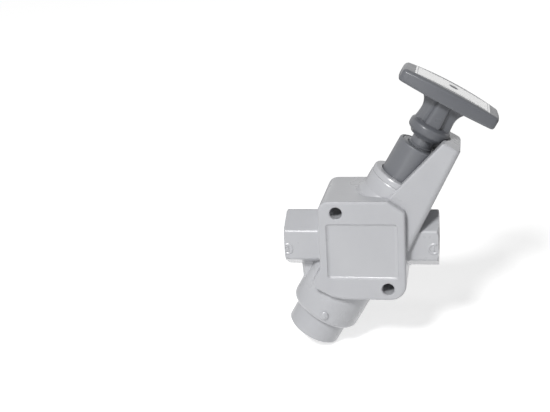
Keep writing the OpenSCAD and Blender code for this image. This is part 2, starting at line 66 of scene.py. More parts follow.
# Height of a capital over the type size in Blender's own letter form.
CAPITAL_SHARE = 0.7
# Points closer than this are one point after solids are joined.
WELD = 0.002
# Blender's noise stays nearly always between these two values.
NOISE_LOW = 0.3
NOISE_HIGH = 0.7


class Body(Enum):
    """The two bodies that pieces ride on."""

    VALVE = "valve_body"
    PLUNGER = "plunger"


class Colour(Enum):
    """Surface colours as sRGB hex values."""

    CAST_PAINT = "C2C3C6"
    CAST_PAINT_DEEP = "B6B7BB"
    NYLON = "6A6C71"
    NYLON_DEEP = "606267"
    ANODISED = "6E7075"
    STEEL = "A5A6AA"
    BLACK_STEEL = "3C3C40"
    RUBBER = "1D1D1F"
    BEARING = "DAD6C8"
    LABEL = "F7F7F6"
    LABEL_LINE = "9A9BA0"
    FLOOR = "FAFAFA"


def linear(colour: Colour) -> tuple[float, float, float, float]:
    """Turn an sRGB hex colour into linear light.

    Args:
        colour: One of the named surface colours.

    Returns:
        Red, green, blue and alpha in linear light.
    """
    # The curve and its numbers are the sRGB standard's own.
    parts = [int(colour.value[k : k + 2], 16) / 255.0 for k in (0, 2, 4)]
    low = [p / 12.92 if p <= 0.04045 else ((p + 0.055) / 1.055) ** 2.4 for p in parts]
    return (low[0], low[1], low[2], 1.0)


def on_axis(station: float, radial: float = 0.0, side: float = 0.0) -> Vector:
    """Find a point in the row frame from its place on the plunger axis.

    Args:
        station: Distance along the axis in millimetres.
        radial: Distance towards the arm in millimetres.
        side: Distance from the middle plane in millimetres, front negative.

    Returns:
        The point in metres.
    """
    across = Vector((math.cos(TILT), 0.0, -math.sin(TILT)))
    point = AXIS * station + across * radial + Vector((0.0, MID_PLANE_Y + side, 0.0))
    return point * MM


def fresh_tree(owner: bpy.types.Material | bpy.types.World) -> bpy.types.NodeTree:
    """Give a material or a world an empty node tree.

    Args:
        owner: The material or the world.

    Returns:
        Its node tree.
    """
    owner.use_nodes = True
    owner.node_tree.nodes.clear()
    return owner.node_tree


def add_node(
    tree: bpy.types.NodeTree,
    kind: str,
    values: dict[str | int, object] | None = None,
    links: dict[str | int, bpy.types.NodeSocket] | None = None,
    **settings: object,
) -> bpy.types.Node:
    """Add one shader node with its settings and its links.

    Args:
        tree: The node tree that takes the node.
        kind: The node's type name.
        values: Input name or number to its plain value.
        links: Input name or number to the socket that feeds it.
        settings: Properties of the node itself.

    Returns:
        The new node.
    """
    node = tree.nodes.new(kind)
    for name, value in settings.items():
        setattr(node, name, value)
    for name, value in (values or {}).items():
        node.inputs[name].default_value = value
    for name, socket in (links or {}).items():
        tree.links.new(socket, node.inputs[name])
    return node


@dataclass(frozen=True)
class Finish:
    """One real material and how its surface was made.

    Clouds are slow changes of shade and gloss, and grain is the fine relief. The
    window is the width and height of a casting's panel whose mould was polished.
    """

    name: str
    colour: Colour
    deep: Colour
    metallic: float
    roughness: float
    rough_spread: float
    cloud_mm: float
    grain_mm: float
    grain_height_mm: float
    coat: float = 0.0
    ior: float = 1.5
    window_mm: tuple[float, float] | None = None
    window_gloss: float = 0.6

    def build(self) -> bpy.types.Material:
        """Build the procedural material.

        Returns:
            The finished material.
        """
        material = bpy.data.materials.new(self.name)
        tree = fresh_tree(material)
        output = add_node(tree, "ShaderNodeOutputMaterial")
        place = add_node(tree, "ShaderNodeTexCoord").outputs["Object"]
        cloud = add_node(
            tree,
            "ShaderNodeTexNoise",
            {"Scale": 1.0 / (self.cloud_mm * MM), "Detail": 3.0, "Roughness": 0.55},
            {"Vector": place},
        )
        rough = add_node(
            tree,
            "ShaderNodeMapRange",
            {
                "From Min": NOISE_LOW,
                "From Max": NOISE_HIGH,
                "To Min": self.roughness - self.rough_spread,
                "To Max": self.roughness + self.rough_spread,
            },
            {"Value": cloud.outputs["Fac"]},
        ).outputs["Result"]
        grain = add_node(
            tree,
            "ShaderNodeTexNoise",
            {"Scale": 1.0 / (self.grain_mm * MM), "Detail": 2.0, "Roughness": 0.5},
            {"Vector": place},
        )
        relief = grain.outputs["Fac"]
        if self.window_mm:
            open_part = self.window(tree, place)
            rough = self.scaled(tree, rough, open_part, self.window_gloss)
            relief = self.scaled(tree, relief, open_part, PANEL_RELIEF)
        bump = add_node(
            tree,
            "ShaderNodeBump",
            {"Strength": 1.0, "Distance": self.grain_height_mm * MM},
            {"Height": relief},
        )
        shader = add_node(
            tree,
            "ShaderNodeBsdfPrincipled",
            {
                "Metallic": self.metallic,
                "IOR": self.ior,
                "Coat Weight": self.coat,
                "Coat Roughness": COAT_ROUGHNESS,
            },
            {"Roughness": rough, "Normal": bump.outputs["Normal"]},
        )
        if self.deep is self.colour:
            shader.inputs["Base Color"].default_value = linear(self.colour)
        else:
            tint = add_node(
                tree,
                "ShaderNodeMix",
                {6: linear(self.colour), 7: linear(self.deep)},
                {0: cloud.outputs["Fac"]},
                data_type="RGBA",
            )
            tree.links.new(tint.outputs[2], shader.inputs["Base Color"])
        tree.links.new(shader.outputs["BSDF"], output.inputs["Surface"])
        return material

    def window(
        self, tree: bpy.types.NodeTree, place: bpy.types.NodeSocket
    ) -> bpy.types.NodeSocket:
        """Mark the sunk panels on the two pads, where the mould was polished.

        Args:
            tree: The material's node tree.
            place: The socket with the place on the object.

        Returns:
            A socket that is 1 on the panels and 0 elsewhere.
        """
        axes = add_node(tree, "ShaderNodeSeparateXYZ", None, {0: place})
        depth = add_node(
            tree,
            "ShaderNodeMath",
            {1: MID_PLANE_Y * MM},
            {0: axes.outputs["Y"]},
            operation="SUBTRACT",
        )
        tests = []
        limits = [
            (axes.outputs["X"], "LESS_THAN", self.window_mm[0] / 2.0),
            (axes.outputs["Z"], "LESS_THAN", self.window_mm[1] / 2.0),
            (depth.outputs[0], "GREATER_THAN", PANEL_FLOOR - PANEL_SLACK),
        ]
        for socket, operation, limit in limits:
            size = add_node(tree, "ShaderNodeMath", None, {0: socket}, operation="ABSOLUTE")
            test = add_node(
                tree, "ShaderNodeMath", {1: limit * MM}, {0: size.outputs[0]}, operation=operation
            )
            tests.append(test.outputs[0])
        both = add_node(
            tree, "ShaderNodeMath", None, {0: tests[0], 1: tests[1]}, operation="MULTIPLY"
        )
        return add_node(
            tree, "ShaderNodeMath", None, {0: both.outputs[0], 1: tests[2]}, operation="MULTIPLY"
        ).outputs[0]

    def scaled(
        self,
        tree: bpy.types.NodeTree,
        value: bpy.types.NodeSocket,
        mask: bpy.types.NodeSocket,
        share: float,
    ) -> bpy.types.NodeSocket:
        """Scale a value by a share where the mask is 1.

        Args:
            tree: The material's node tree.
            value: The socket with the value.
            mask: The socket with the mask.
            share: What is left of the value under the mask.

        Returns:
            The socket with the scaled value.
        """
        factor = add_node(
            tree, "ShaderNodeMapRange", {"To Min": 1.0, "To Max": share}, {"Value": mask}
        ).outputs["Result"]
        return add_node(
            tree, "ShaderNodeMath", None, {0: value, 1: factor}, operation="MULTIPLY"
        ).outputs[0]


# The orange peel's grain has its real size. Eroded, anodised and turned surfaces have a
# finer grain than the picture can show, so theirs is drawn at about half a millimetre.

# Powder coat on a zinc casting: satin, with a faint orange peel and bright rounded edges.
CAST_PAINT = Finish(
    "powder_coated_casting", Colour.CAST_PAINT, Colour.CAST_PAINT_DEEP,
    metallic=0.0, roughness=0.29, rough_spread=0.03,
    cloud_mm=26.0, grain_mm=0.9, grain_height_mm=0.02, ior=1.53, window_mm=(46.6, 37.6),
)
# Glass-filled nylon from a spark-eroded mould: a soft sheen over a fine even grain.
MOULDED_NYLON = Finish(
    "glass_filled_nylon", Colour.NYLON, Colour.NYLON_DEEP,
    metallic=0.0, roughness=0.3, rough_spread=0.03,
    cloud_mm=18.0, grain_mm=0.55, grain_height_mm=0.012,
)
# Dyed hard anodising on a turned bar: a smooth grey oxide skin with a soft streak.
ANODISED = Finish(
    "hard_anodised_aluminium", Colour.ANODISED, Colour.NYLON,
    metallic=0.0, roughness=0.31, rough_spread=0.03,
    cloud_mm=30.0, grain_mm=0.5, grain_height_mm=0.004, ior=1.6,
)
# Turned steel: fine tool marks and a clear mirror streak.
TURNED_STEEL = Finish(
    "turned_steel", Colour.STEEL, Colour.ANODISED,
    metallic=1.0, roughness=0.3, rough_spread=0.05,
    cloud_mm=12.0, grain_mm=0.4, grain_height_mm=0.004,
)
# Black oxide on steel: nearly black, slightly oily.
BLACK_STEEL = Finish(
    "black_oxide_steel", Colour.BLACK_STEEL, Colour.RUBBER,
    metallic=1.0, roughness=0.4, rough_spread=0.05,
    cloud_mm=8.0, grain_mm=0.4, grain_height_mm=0.004,
)
# Nitrile rubber from a mould: black and dull.
SEAL_RUBBER = Finish(
    "nitrile_rubber", Colour.RUBBER, Colour.BLACK_STEEL,
    metallic=0.0, roughness=0.62, rough_spread=0.06,
    cloud_mm=6.0, grain_mm=0.5, grain_height_mm=0.01,
)
# Acetal bearing ring: milky and smooth.
BEARING = Finish(
    "acetal", Colour.BEARING, Colour.LABEL,
    metallic=0.0, roughness=0.4, rough_spread=0.04,
    cloud_mm=8.0, grain_mm=0.6, grain_height_mm=0.004, ior=1.48,
)
# Laminated polyester label: white under a clear glossy film.
LABEL_FILM = Finish(
    "laminated_polyester", Colour.LABEL, Colour.FLOOR,
    metallic=0.0, roughness=0.2, rough_spread=0.03,
    cloud_mm=20.0, grain_mm=1.4, grain_height_mm=0.002, coat=1.0,
)
# Printing ink on the label: a thin grey line.
LABEL_INK = Finish(
    "label_ink", Colour.LABEL_LINE, Colour.LABEL_LINE,
    metallic=0.0, roughness=0.45, rough_spread=0.02,
    cloud_mm=9.0, grain_mm=0.5, grain_height_mm=0.001,
)
# Printing ink on the label: a dark grey spot.
SPOT_INK = Finish(
    "dark_label_ink", Colour.NYLON_DEEP, Colour.NYLON,
    metallic=0.0, roughness=0.45, rough_spread=0.02,
    cloud_mm=9.0, grain_mm=0.5, grain_height_mm=0.001,
)

SLOT_FINISH: dict[str, Finish] = {
    "cast_paint": CAST_PAINT,
    "bearing_plastic": BEARING,
    "rubber": SEAL_RUBBER,
    "spring_steel": BLACK_STEEL,
    "dark_anodised": ANODISED,
    "plain_steel": TURNED_STEEL,
    "black_steel": BLACK_STEEL,
    "handle_plastic": MOULDED_NYLON,
    "label_film": LABEL_FILM,
}


@dataclass
class Palette:
    """Builds each finish once and hands it out."""

    made: dict[str, bpy.types.Material] = field(default_factory=dict)

    def get(self, finish: Finish) -> bpy.types.Material:
        """Return the material of a finish, built on first use.

        Args:
            finish: The finish.

        Returns:
            Its material.
        """
        if finish.name not in self.made:
            self.made[finish.name] = finish.build()
        return self.made[finish.name]

    def dress(self, target: bpy.types.Object, finish: Finish) -> None:
        """Put one finish on every slot of an object.

        Args:
            target: The object.
            finish: The finish.
        """
        material = self.get(finish)
        if not target.data.materials:
            target.data.materials.append(material)
        for slot in target.material_slots:
            slot.material = material


def new_mesh(
    name: str, points: list[Vector], faces: list[tuple[int, ...]], triangles: bool = False
) -> bpy.types.Mesh:
    """Make a mesh whose faces look outwards.

    Args:
        name: Name of the mesh.
        points: Corners in metres.
        faces: Corner numbers of each face.
        triangles: Whether every face is cut into triangles.

    Returns:
        The new mesh.
    """
    mesh = bpy.data.meshes.new(name)
    mesh.from_pydata([tuple(p) for p in points], [], faces)
    work = bmesh.new()
    work.from_mesh(mesh)
    if triangles:
        bmesh.ops.triangulate(work, faces=work.faces)
    bmesh.ops.recalc_face_normals(work, faces=work.faces)
    work.to_mesh(mesh)
    work.free()
    return mesh


def new_object(name: str, data: bpy.types.ID) -> bpy.types.Object:
    """Put a mesh, a curve, a camera or a lamp in the scene as an object.

    Args:
        name: Name of the object.
        data: What it shows.

    Returns:
        The new object, which rides on nothing yet.
    """
    thing = bpy.data.objects.new(name, data)
    bpy.context.scene.collection.objects.link(thing)
    return thing


def weld(mesh: bpy.types.Mesh) -> None:
    """Join the mesh's points that lie on each other.

    Args:
        mesh: The mesh, changed in place.
    """
    work = bmesh.new()
    work.from_mesh(mesh)
    bmesh.ops.remove_doubles(work, verts=work.verts, dist=WELD * MM)
    work.to_mesh(mesh)
    work.free()


def evaluated_mesh(thing: bpy.types.Object) -> bpy.types.Mesh:
    """Make a mesh of an object as its modifiers or its letters shape it.

    Args:
        thing: The object, which stays as it is.

    Returns:
        The new mesh.
    """
    bpy.context.view_layer.update()
    return bpy.data.meshes.new_from_object(
        thing.evaluated_get(bpy.context.evaluated_depsgraph_get())
    )


def shade_smooth(piece: bpy.types.Object, sharp_degrees: float | None = None) -> None:
    """Shade a piece smoothly, apart from its sharper edges.

    Args:
        piece: The piece.
        sharp_degrees: Angle from which an edge stays sharp, or none.
    """
    piece.data.polygons.foreach_set("use_smooth", [True] * len(piece.data.polygons))
    if sharp_degrees is not None:
        piece.data.set_sharp_from_angle(angle=math.radians(sharp_degrees))


def settle(piece: bpy.types.Object, body: Body) -> None:
    """Let a piece ride on a body and report it.

    Args:
        piece: The piece.
        body: The body it rides on.
    """
    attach(piece, body.value)
    LOG.info("piece %s: %d faces on %s", piece.name, len(piece.data.polygons), body.value)


def mesh_piece(
    name: str,
    points: list[Vector],
    faces: list[tuple[int, ...]],
    body: Body,
    smooth: bool = True,
) -> bpy.types.Object:
    """Make a mesh piece that rides on a body.

    Args:
        name: Name of the piece.
        points: Corners in metres.
        faces: Corner numbers of each face.
        body: The body it rides on.
        smooth: Whether its faces shade smoothly.

    Returns:
        The new object.
    """
    piece = new_object(name, new_mesh(name, points, faces))
    if smooth:
        shade_smooth(piece)
    settle(piece, body)
    return piece


def band_faces(rings: int, wide: int, closed: bool = False) -> list[tuple[int, ...]]:
    """Join neighbouring rings of points by four-sided faces.

    Args:
        rings: How many rings there are.
        wide: How many points a ring has.
        closed: Whether the last ring joins the first.

    Returns:
        The corner numbers of each face.
    """
    faces: list[tuple[int, ...]] = []
    for k in range(rings if closed else rings - 1):
        n = (k + 1) % rings
        for j in range(wide):
            i = (j + 1) % wide
            faces.append((k * wide + j, k * wide + i, n * wide + i, n * wide + j))
    return faces


def end_faces(rings: int, wide: int) -> list[tuple[int, ...]]:
    """Return the two faces that close the first and the last ring."""
    return [tuple(range(wide)), tuple((rings - 1) * wide + j for j in range(wide))]


def ring_solid(name: str, points: list[Vector], wide: int) -> bpy.types.Object:
    """Make a closed solid from rings of points, first and last ring capped.

    Args:
        name: Name of the object.
        points: The rings' points in metres, ring after ring.
        wide: How many points a ring has.

    Returns:
        The new object, which rides on nothing yet.
    """
    rings = len(points) // wide
    first, last = end_faces(rings, wide)
    faces = [first] + band_faces(rings, wide) + [last]
    return new_object(name, new_mesh(name, points, faces, triangles=True))


def turned(
    profile: list[tuple[float, float]], steps: int, phase: float = 0.0
) -> list[Vector]:
    """Turn a profile about the plunger axis.

    Args:
        profile: Radius and station of each ring in millimetres.
        steps: Points of each ring.
        phase: Share of a step by which each ring is turned.

    Returns:
        The points in metres, ring after ring.
    """
    points: list[Vector] = []
    for radius, station in profile:
        for k in range(steps):
            angle = 2.0 * math.pi * (k + phase) / steps
            points.append(on_axis(station, radius * math.cos(angle), radius * math.sin(angle)))
    return points


@dataclass
class PipeThread:
    """Ridges of an inside pipe thread in one port."""

    palette: Palette
    name: str
    mouth: Vector
    outward: Vector
    major_r: float
    pitch: float
    length: float
    depth_share: float = 0.64
    bury: float = 0.02
    run_out_turns: float = 0.5
    least_ramp: float = 0.03
    start_pitches: float = 0.5
    steps: int = 48

    def build(self) -> None:
        """Sweep the rounded ridge along its helix."""
        crest = self.major_r - self.depth_share * self.pitch
        root = self.major_r + self.bury
        side = self.outward.orthogonal().normalized()
        other = self.outward.cross(side)
        count = int((self.length / self.pitch - 2.0 * self.start_pitches) * self.steps)
        run_out = self.run_out_turns * self.steps
        # Place along the axis in pitches, and height in ridge heights.
        section = [(-0.46, 0.0), (-0.2, 0.72), (-0.07, 1.0), (0.07, 1.0), (0.2, 0.72), (0.46, 0.0)]
        points: list[Vector] = []
        for k in range(count + 1):
            angle = 2.0 * math.pi * k / self.steps
            ramp = max(min(1.0, k / run_out, (count - k) / run_out), self.least_ramp)
            along = -(self.start_pitches + k / self.steps) * self.pitch
            spoke = side * math.cos(angle) + other * math.sin(angle)
            for offset, rise in section:
                radius = root + (crest - root) * rise * ramp
                points.append(
                    self.mouth
                    + spoke * radius * MM
                    + self.outward * (along + offset * self.pitch) * MM
                )
        wide = len(section)
        faces = band_faces(count + 1, wide) + end_faces(count + 1, wide)
        piece = mesh_piece(self.name, points, faces, Body.VALVE)
        self.palette.dress(piece, CAST_PAINT)


@dataclass
class PortMark:
    """A plain number inside a raised rim on a hexagon's front flat."""

    palette: Palette
    number: str
    centre: Vector
    cut_x: float
    cut_side: float
    face_y: float = -48.0
    ring_r: float = 2.35
    slope: float = 1.0
    rise: float = 0.6
    cut_gap: float = 0.25
    steps: int = 64
    height: float = 4.2
    digit_rise: float = 0.5
    digit_bevel: float = 0.42
    digit_slim: float = 0.12
    digit_flatten: float = 0.6

    def build(self) -> None:
        """Build the ring and the number."""
        self.ring()
        self.digit()

    def ring_run(self) -> list[int]:
        """Find the steps of the ring that the machined end leaves standing.

        Returns:
            The steps in order, all of them where nothing is cut.
        """
        keep = []
        for k in range(self.steps):
            angle = 2.0 * math.pi * k / self.steps
            x = self.centre.x + (self.ring_r + 2.0 * self.slope) * math.cos(angle)
            keep.append((self.cut_x - x) * self.cut_side > self.cut_gap)
        start = next((k for k in range(self.steps) if keep[k] and not keep[k - 1]), 0)
        run = []
        for k in range(self.steps):
            if not keep[(start + k) % self.steps]:
                break
            run.append(start + k)
        return run

    def ring(self) -> None:
        """Build the ring, left open where the machined end cuts it."""
        # Half of the rim's section in slope widths and rises, from its foot to its crest.
        half = [(0.0, -0.2), (0.0, 0.0), (0.12, 0.12), (0.85, 0.85), (0.95, 0.93)]
        section = [(self.slope * across, up) for across, up in half]
        section += [(self.slope * (2.0 - across), up) for across, up in half[::-1]]
        run = self.ring_run()
        points: list[Vector] = []
        for k in run:
            angle = 2.0 * math.pi * k / self.steps
            for across, up in section:
                radius = self.ring_r + across
                points.append(Vector((
                    self.centre.x + radius * math.cos(angle),
                    self.face_y - up * self.rise,
                    self.centre.z + radius * math.sin(angle),
                )) * MM)
        wide = len(section)
        whole = len(run) == self.steps
        faces = band_faces(len(run), wide, whole)
        if not whole:
            faces += end_faces(len(run), wide)
        piece = mesh_piece(f"port_{self.number}_ring", points, faces, Body.VALVE)
        self.palette.dress(piece, CAST_PAINT)

    def digit(self) -> None:
        """Build the raised number from a plain letter form."""
        curve = bpy.data.curves.new(f"digit_{self.number}", "FONT")
        curve.body = self.number
        curve.size = self.height * MM / CAPITAL_SHARE
        curve.align_x = "CENTER"
        curve.align_y = "CENTER"
        curve.extrude = 0.5 * self.digit_rise * MM
        curve.bevel_depth = self.digit_bevel * MM
        curve.bevel_resolution = 0
        curve.offset = -self.digit_slim * MM
        writer = new_object("writer", curve)
        mesh = evaluated_mesh(writer)
        bpy.data.objects.remove(writer)
        bpy.data.curves.remove(curve)
        mesh.name = f"port_{self.number}_number"
        mesh.materials.clear()
        spot = Vector((self.centre.x, self.face_y, self.centre.z)) * MM
        turn = Matrix.Rotation(math.pi / 2.0, 4, "X")
        flat = Matrix.Diagonal((1.0, 1.0, self.digit_flatten, 1.0))
        mesh.transform(Matrix.Translation(spot) @ (turn @ flat))
        weld(mesh)
        piece = new_object(mesh.name, mesh)
        settle(piece, Body.VALVE)
        self.palette.dress(piece, CAST_PAINT)


@dataclass
class PanelFillet:
    """The cast fillet round the foot of one sunk panel."""

    palette: Palette
    name: str
    face_y: float
    outward: float
    width: float = 46.2
    height: float = 37.2
    depth: float = 1.5
    slope: float = 1.3
    radius: float = 3.0
    corner: float = 1.0
    bury: float = 0.04
    arcs: int = 7
    corner_steps: int = 6
    sharp_degrees: float = 60.0

    def section(self) -> list[tuple[float, float]]:
        """Draw the fillet's outline.

        Returns:
            Distances inside the wall's foot and heights over the floor.
        """
        lean = math.atan2(self.depth, self.slope)
        tangent = self.radius * math.tan(lean / 2.0)
        points = [(-self.bury, -self.bury)]
        for k in range(self.arcs + 1):
            angle = lean * k / self.arcs
            points.append((
                tangent - self.radius * math.sin(angle),
                self.radius * (1.0 - math.cos(angle)),
            ))
        return points

    def build(self) -> None:
        """Sweep the fillet round the panel."""
        floor_y = self.face_y - self.outward * self.depth
        half_w = self.width / 2.0 - self.corner
        half_h = self.height / 2.0 - self.corner
        section = self.section()
        points: list[Vector] = []
        for turn, (sx, sz) in enumerate([(1, 1), (-1, 1), (-1, -1), (1, -1)]):
            for k in range(self.corner_steps + 1):
                angle = math.radians(90.0 * turn + 90.0 / self.corner_steps * k)
                for inside, up in section:
                    reach = self.corner - inside
                    points.append(Vector((
                        sx * half_w + reach * math.cos(angle),
                        floor_y + self.outward * up,
                        sz * half_h + reach * math.sin(angle),
                    )) * MM)
        wide = len(section)
        faces = band_faces(len(points) // wide, wide, closed=True)
        piece = mesh_piece(self.name, points, faces, Body.VALVE)
        shade_smooth(piece, self.sharp_degrees)
        self.palette.dress(piece, CAST_PAINT)


@dataclass
class BossCrown:
    """The rounded crown of the small cast boss on the vent barrel."""

    palette: Palette
    station: float
    face_side: float
    radius: float
    height: float = 0.95
    bury: float = 0.2
    steps: int = 40
    rings: int = 7
    sharp_degrees: float = 40.0

    def build(self) -> None:
        """Turn the crown as a shallow cap that starts inside the boss."""
        ball = (self.radius**2 + self.height**2) / (2.0 * self.height)
        lean = math.asin(self.radius / ball)
        profile = [(self.radius, -self.bury)]
        for k in range(self.rings):
            angle = lean * (1.0 - k / self.rings)
            profile.append((ball * math.sin(angle), ball * math.cos(angle) - ball + self.height))
        points: list[Vector] = []
        for radius, up in profile:
            for k in range(self.steps):
                angle = 2.0 * math.pi * k / self.steps
                points.append(on_axis(
                    self.station + radius * math.sin(angle),
                    radius * math.cos(angle),
                    self.face_side - up,
                ))
        piece = ring_solid("boss_crown", points, self.steps)
        shade_smooth(piece, self.sharp_degrees)
        settle(piece, Body.VALVE)
        self.palette.dress(piece, CAST_PAINT)


@dataclass
class ValveBody:
    """The casting with its ports, collar and cast marks."""

    palette: Palette
    inlet_reach: float = 50.5
    outlet_reach: float = 55.6
    port_r: float = 10.4775
    vent_r: float = 13.2205
    pitch: float = 1.814
    mouth: float = 1.3
    depth: float = 16.0
    collar_low: float = -81.5
    boss_station: float = -57.6
    boss_side: float = -26.2
    boss_r: float = 2.88
    # Centres of the port marks: distance from the port's end, and height.
    inlet_mark: tuple[float, float] = (3.0, -2.0)
    outlet_mark: tuple[float, float] = (2.1, -2.9)

    def build(self) -> None:
        """Build the threads, the crown, the fillets and the port marks."""
        self.threads()
        BossCrown(self.palette, self.boss_station, self.boss_side, self.boss_r).build()
        PanelFillet(self.palette, "front_panel_fillet", FRONT_Y, -1.0).build()
        PanelFillet(self.palette, "back_panel_fillet", BACK_Y, 1.0).build()
        inset, height = self.inlet_mark
        centre = Vector((self.inlet_reach - inset, 0.0, height))
        PortMark(self.palette, "1", centre, self.inlet_reach, 1.0).build()
        inset, height = self.outlet_mark
        centre = Vector((inset - self.outlet_reach, 0.0, height))
        PortMark(self.palette, "2", centre, -self.outlet_reach, -1.0).build()

    def threads(self) -> None:
        """Build the threads of the three ports."""
        middle = Vector((0.0, MID_PLANE_Y, 0.0)) * MM
        right = Vector((1.0, 0.0, 0.0))
        inlet = middle + right * (self.inlet_reach - self.mouth) * MM
        outlet = middle - right * (self.outlet_reach - self.mouth) * MM
        vent = on_axis(self.collar_low + self.mouth)
        ports = [
            ("port_1_thread", inlet, right, self.port_r),
            ("port_2_thread", outlet, -right, self.port_r),
            ("port_3_thread", vent, -AXIS, self.vent_r),
        ]
        length = self.depth - self.mouth
        for name, mouth, outward, radius in ports:
            PipeThread(self.palette, name, mouth, outward, radius, self.pitch, length).build()


@dataclass
class Barrel:
    """The plunger's barrel, closed at its top round the stem."""

    palette: Palette
    top: float = 76.5
    inner_r: float = 8.7
    outer_r: float = 12.35
    depth: float = 1.35
    sink: float = 0.12
    edge: float = 0.3
    steps: int = 72
    sharp_degrees: float = 50.0

    def build(self) -> None:
        """Turn the ring that closes the barrel's top."""
        low = self.top - self.depth
        high = self.top - self.sink
        profile = [
            (self.inner_r, low), (self.outer_r, low), (self.outer_r, high - self.edge),
            (self.outer_r - self.edge, high), (self.inner_r + self.edge, high),
            (self.inner_r, high - self.edge),
        ]
        points: list[Vector] = []
        for k in range(self.steps):
            angle = 2.0 * math.pi * k / self.steps
            for radius, station in profile:
                points.append(on_axis(station, radius * math.cos(angle), radius * math.sin(angle)))
        faces = band_faces(self.steps, len(profile), closed=True)
        piece = mesh_piece("barrel_top_ring", points, faces, Body.PLUNGER)
        shade_smooth(piece, self.sharp_degrees)
        self.palette.dress(piece, ANODISED)


@dataclass
class Handle:
    """The moulded handle with its crowned bar, ribbed neck, flange and label."""

    palette: Palette
    # The bar.
    bar_low: float = 111.2
    bar_top: float = 119.6
    half_length: float = 35.2
    half_width: float = 17.8
    side_bow: float = 3.4
    end_bow: float = 0.6
    corner: float = 3.4
    least_corner: float = 0.5
    corner_degrees: tuple[float, float] = (78.0, 4.0)
    crown: float = 1.6
    bevel: float = 1.5
    side_steps: int = 14
    corner_steps: int = 7
    # The flange.
    flange_low: float = 83.5
    flange_top: float = 94.0
    flange_r: float = 14.5
    flange_steps: int = 96
    # The neck, with the heights of its waist and of its web's swelling as shares.
    foot_inset: float = 1.2
    waist: float = 12.2
    waist_share: float = 0.42
    flare: float = 19.4
    web_half: float = 4.4
    web_swell: float = 1.4
    swell_share: float = 0.75
    rib_half: float = 5.0
    rib_depth: float = 9.2
    rib_draft: float = 0.5
    depth_draft: float = 0.4
    neck_levels: int = 18
    neck_bury: tuple[float, float] = (2.0, 1.0)
    # The hole.
    spigot_r: float = 5.6
    spigot_length: float = 8.6
    sleeve_r: float = 5.4
    head_r: float = 6.0
    head_seat: float = 113.9
    bore_margin: float = 1.0
    bore_steps: int = 48
    sharp_degrees: float = 32.0
    # The label and its print.
    label_length: float = 55.0
    label_width: float = 23.0
    label_lift: float = 0.12
    label_sink: float = 0.3
    label_columns: int = 22
    label_rows: int = 6
    print_inset: float = 1.3
    print_line: float = 0.35
    print_lift: float = 0.02
    print_gap: float = 0.01
    line_columns: int = 20
    spot_r: float = 3.4
    spot_side: float = 1.5
    spot_columns: int = 8
    spot_least: float = 0.05

    def build(self) -> None:
        """Build the moulding, the label and its print."""
        self.moulding()
        self.label()
        self.frame_line()
        self.spot()

    def arch(self, radial: float) -> float:
        """Return how far the crowned top rises above the bar's ends."""
        return self.crown * max(0.0, 1.0 - (radial / self.half_length) ** 2)

    def bar_outline(self, inset: float) -> list[tuple[float, float]]:
        """Draw the bar's outline from above, with bowed sides and rounded corners.

        Args:
            inset: How far inside the widest outline it runs, in millimetres.

        Returns:
            Places along the bar and across it, all the way round.
        """
        long_half = self.half_length - inset
        wide_half = self.half_width - inset
        corner = max(self.least_corner, self.corner - inset)
        turn = long_half - corner
        side_end = wide_half - self.side_bow
        low_side = side_end - corner
        quarter = []
        for k in range(self.side_steps):
            share = k / self.side_steps
            quarter.append((turn * share, wide_half - self.side_bow * share**2))
        # The corner turns from the bowed side to the bowed end.
        start, end = self.corner_degrees
        for k in range(self.corner_steps + 1):
            share = k / self.corner_steps
            angle = math.radians(start * (1.0 - share) + end * share)
            quarter.append((turn + corner * math.cos(angle), low_side + corner * math.sin(angle)))
        quarter += [
            (long_half + self.end_bow * (1.0 - share * share), low_side * share)
            for share in (0.8, 0.55, 0.3, 0.0)
        ]
        outline = quarter + [(r, -s) for r, s in quarter[-2::-1]]
        return outline + [(-r, s) for r, s in outline[-2:0:-1]]

    def bar(self) -> bpy.types.Object:
        """Build the bar: bowed sides, rounded rims, bevelled and crowned top.

        Returns:
            The bar's solid.
        """
        low = self.bar_low
        high = self.bar_top
        # Inset of each ring, its station, and the share of the crown that it follows.
        rims = [
            (3.0, low, 0.0), (1.5, low, 0.0), (0.6, low + 0.3, 0.0),
            (0.15, low + 0.9, 0.0), (0.0, low + 1.8, 0.0), (0.0, high - 2.0, 1.0),
            (0.12, high - 1.5, 1.0), (0.5, high - 0.9, 1.0), (self.bevel, high - 0.12, 1.0),
            (self.bevel + 0.5, high, 1.0), (5.0, high, 1.0), (8.5, high, 1.0), (12.0, high, 1.0),
        ]
        points: list[Vector] = []
        for inset, station, share in rims:
            points += [
                on_axis(station + share * self.arch(r), r, s) for r, s in self.bar_outline(inset)
            ]
        return ring_solid("bar", points, len(points) // len(rims))

    def neck_outline(self, share: float) -> list[tuple[float, float]]:
        """Draw the neck's cross-section at one height.

        Args:
            share: Height on the neck, from 0 at the flange to 1 in the bar.

        Returns:
            Places along the bar and across it, all the way round.
        """
        foot = self.flange_r - self.foot_inset
        below = max(0.0, 1.0 - share / self.waist_share)
        above = max(0.0, (share - self.waist_share) / (1.0 - self.waist_share))
        swell = max(0.0, (share - self.swell_share) / (1.0 - self.swell_share))
        half = (
            self.waist + (foot - self.waist) * below**2 + (self.flare - self.waist) * above**2.2
        )
        web = self.web_half + self.web_swell * swell**2
        # The mould's draft makes the rib narrower and shallower towards the bar.
        rib = self.rib_half + self.rib_draft * (1.0 - 2.0 * share)
        deep = self.rib_depth + self.depth_draft * (1.0 - 2.0 * share)
